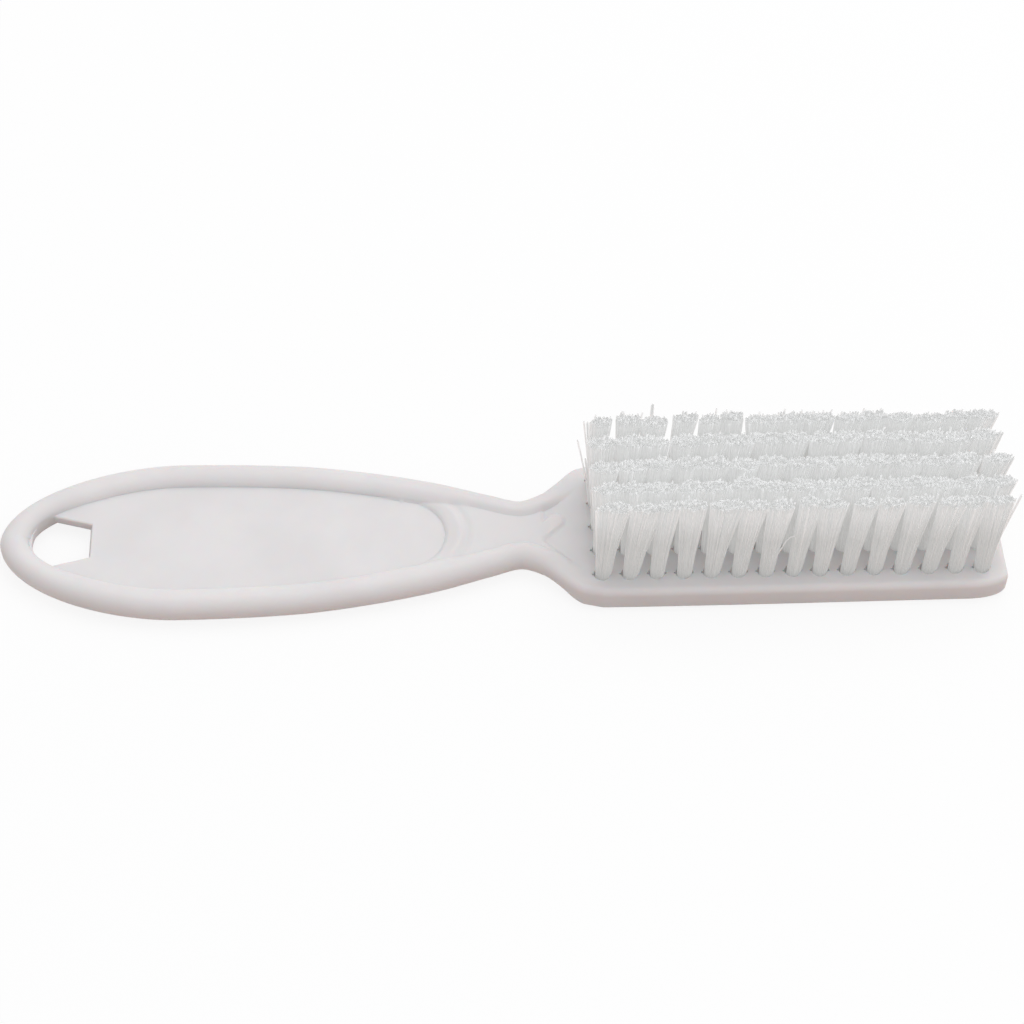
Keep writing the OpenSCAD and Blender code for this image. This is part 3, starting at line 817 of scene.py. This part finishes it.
def filament_paths(c, r, rng):
    """Centre lines of a tuft's filaments: points by levels, in millimetres."""
    base, reach, height = filament_ends(c, r, rng)
    bow = rng.normal(0, BOW_SPAN, (FILAMENTS, 2))
    levels = np.array(LEVELS)
    root = np.full((FILAMENTS, 1), ROOT_Z)
    z = np.concatenate([root, HEAD_T + height[:, None] * levels[1:]], axis=1)
    t = levels[None, :, None]
    xy = base[:, None] + (reach - base)[:, None] * t**REACH_POWER + bow[:, None] * np.sin(math.pi * t)
    paths = np.concatenate([xy + TUFT_SHIFT, z[..., None]], axis=-1)
    if (c, r) == BENT_TUFT:
        paths = np.concatenate([paths, [np.array(BENT) + [0, 0, HEAD_T]]])
    return paths + [*tuft_place(c, r), 0]


def tubes(paths, radius):
    """Closed tubes of FILAMENT_SIDES sides along paths, a little thicker where they were cut."""
    n, levels = paths.shape[:2]
    turns = np.arange(FILAMENT_SIDES) * 2 * math.pi / FILAMENT_SIDES
    ring = np.stack([np.cos(turns), np.sin(turns), 0 * turns], axis=-1)
    points = paths[:, :, None] + ring * radius * np.array(SWELL)[:, None, None]
    faces = []
    size = levels * FILAMENT_SIDES
    for i in range(n):
        a = i * size
        faces.append(tuple(a + j for j in range(FILAMENT_SIDES - 1, -1, -1)))
        faces.append(tuple(a + size - FILAMENT_SIDES + j for j in range(FILAMENT_SIDES)))
        for k in range(levels - 1):
            b = a + k * FILAMENT_SIDES
            for j in range(FILAMENT_SIDES):
                m = (j + 1) % FILAMENT_SIDES
                faces.append((b + j, b + m, b + m + FILAMENT_SIDES, b + j + FILAMENT_SIDES))
    return points.reshape(-1, 3), faces


def tuft_columns():
    """The bristles, one piece for each column of tufts."""
    material = bristle_nylon()
    for c in range(COLUMNS):
        rng = np.random.default_rng(SEED + c)
        paths = np.concatenate([filament_paths(c, r, rng) for r in range(ROWS)])
        points, faces = tubes(paths, FILAMENT_R)
        name = f"tuft_column_{c + 1:02d}"
        piece = mesh_piece(f"bristles_{c + 1:02d}", points, faces, material)
        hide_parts(name)


def anchors():
    """Gives the CAD's anchors their wire material."""
    material = anchor_wire()
    for c in range(COLUMNS):
        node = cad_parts[f"anchor_column_{c + 1:02d}"]
        for slot in node.material_slots:
            slot.material = material


# The stage: a floor that is white to the rays that look at it, and tinted to the light that it sends back
SEEN_RAYS = ("Is Camera Ray", "Is Glossy Ray", "Is Transmission Ray")
FLOOR_HALF, FLOOR_LEVEL = 3.0, -0.0002
FLOOR_TINT, FLOOR_ROUGHNESS = (0.58, 0.44, 0.38), 0.9
# The pale surface that takes the shadow, and the share of plain white that is mixed in
FLOOR_PALE, FLOOR_WHITE = (0.9, 0.9, 0.9), 0.86
# Lamps: name, place, size, power, colour
LAMPS = (
    ("key", (0.25, 0.45, 1.15), 1.1, 5.2, (1.0, 0.995, 0.99)),
    ("side", (0.55, 0.0, 0.35), 0.4, 0.35, (1.0, 1.0, 1.0)),
)
WORLD_TINT, WORLD_STRENGTH = (0.965, 0.968, 0.98), 0.785


def larger(nodes, links, *sockets):
    """A value as large as the largest of several."""
    out = sockets[0]
    for socket in sockets[1:]:
        pick = nodes.new("ShaderNodeMath")
        pick.operation = "MAXIMUM"
        links.new(out, pick.inputs[0])
        links.new(socket, pick.inputs[1])
        out = pick.outputs["Value"]
    return out


def white_floor():
    """A floor that shows white to the camera with a faint shadow, and throws a warm light on the brush."""
    half = FLOOR_HALF
    mesh = bpy.data.meshes.new("floor")
    corners = [(-half, -half, 0), (half, -half, 0), (half, half, 0), (-half, half, 0)]
    mesh.from_pydata(corners, [], [(0, 1, 2, 3)])
    floor = bpy.data.objects.new("floor", mesh)
    bpy.context.scene.collection.objects.link(floor)
    floor.location.z = FLOOR_LEVEL
    material, nodes, links, shader = new_material("floor")
    shader.inputs["Base Color"].default_value = (*FLOOR_TINT, 1)
    shader.inputs["Roughness"].default_value = FLOOR_ROUGHNESS
    pale = nodes.new("ShaderNodeBsdfDiffuse")
    pale.inputs["Color"].default_value = (*FLOOR_PALE, 1)
    glow = nodes.new("ShaderNodeEmission")
    glow.inputs["Color"].default_value = (1, 1, 1, 1)
    seen = nodes.new("ShaderNodeMixShader")
    seen.inputs["Fac"].default_value = FLOOR_WHITE
    links.new(pale.outputs["BSDF"], seen.inputs[1])
    links.new(glow.outputs["Emission"], seen.inputs[2])
    path = nodes.new("ShaderNodeLightPath")
    share = larger(nodes, links, *(path.outputs[n] for n in SEEN_RAYS))
    blend = nodes.new("ShaderNodeMixShader")
    links.new(share, blend.inputs["Fac"])
    links.new(shader.outputs["BSDF"], blend.inputs[1])
    links.new(seen.outputs["Shader"], blend.inputs[2])
    links.new(blend.outputs["Shader"], nodes["Material Output"].inputs["Surface"])
    mesh.materials.append(material)


def area_light(name, place, size, power, colour):
    """A round lamp that faces the brush."""
    lamp = bpy.data.lights.new(name, "AREA")
    lamp.shape = "DISK"
    lamp.size = size
    lamp.energy = power
    lamp.color = colour
    piece = bpy.data.objects.new(name, lamp)
    bpy.context.scene.collection.objects.link(piece)
    piece.location = place
    piece.rotation_euler = (-Vector(place)).to_track_quat("-Z", "Y").to_euler()


def lights():
    """The lamps and the world, which shows white behind the brush."""
    for lamp in LAMPS:
        area_light(*lamp)
    world = bpy.data.worlds.new("studio")
    world.use_nodes = True
    nodes, links = world.node_tree.nodes, world.node_tree.links
    nodes.clear()
    dim = nodes.new("ShaderNodeBackground")
    dim.inputs["Color"].default_value = (*WORLD_TINT, 1)
    dim.inputs["Strength"].default_value = WORLD_STRENGTH
    white = nodes.new("ShaderNodeBackground")
    white.inputs["Strength"].default_value = 1.0
    white.inputs["Color"].default_value = (1, 1, 1, 1)
    path = nodes.new("ShaderNodeLightPath")
    blend = nodes.new("ShaderNodeMixShader")
    out = nodes.new("ShaderNodeOutputWorld")
    share = larger(nodes, links, *(path.outputs[n] for n in SEEN_RAYS))
    links.new(share, blend.inputs["Fac"])
    links.new(dim.outputs["Background"], blend.inputs[1])
    links.new(white.outputs["Background"], blend.inputs[2])
    links.new(blend.outputs["Shader"], out.inputs["Surface"])
    bpy.context.scene.world = world
    bpy.context.scene.view_settings.view_transform = "Standard"


# The camera that the photograph was taken with, as fitted to the brush's outline and tuft holes
CAMERA_AZIMUTH, CAMERA_ELEVATION, CAMERA_ROLL = 4.67, 50.0, 2.57
CAMERA_DISTANCE, NEAR_CLIP = 459.0, 0.01
CAMERA_TARGET = (89.11 + TIP_X, 5.31, 2.5)
SENSOR_W = 36.0
FOCAL_PX, FRAME_PX = 2600, 1024


def camera():
    """The camera, from its fitted angles and distance."""
    azimuth, elevation, roll = (
        math.radians(v) for v in (CAMERA_AZIMUTH, CAMERA_ELEVATION, CAMERA_ROLL)
    )
    forward = Vector((
        math.sin(azimuth) * math.cos(elevation),
        math.cos(azimuth) * math.cos(elevation),
        -math.sin(elevation),
    ))
    level = Vector((math.cos(azimuth), -math.sin(azimuth), 0))
    up = level.cross(forward)
    right = level * math.cos(roll) + up * math.sin(roll)
    up = right.cross(forward)
    lens = bpy.data.cameras.new("camera")
    lens.sensor_width = SENSOR_W
    lens.lens = SENSOR_W * FOCAL_PX / FRAME_PX
    lens.clip_start = NEAR_CLIP
    piece = bpy.data.objects.new("camera", lens)
    bpy.context.scene.collection.objects.link(piece)
    place = (Vector(CAMERA_TARGET) - forward * CAMERA_DISTANCE) * MM
    turn = Matrix((right, up, -forward)).transposed().to_4x4()
    piece.matrix_world = Matrix.Translation(place) @ turn
    bpy.context.scene.camera = piece


camera()
lights()
white_floor()
brush_body()
tuft_columns()
anchors()
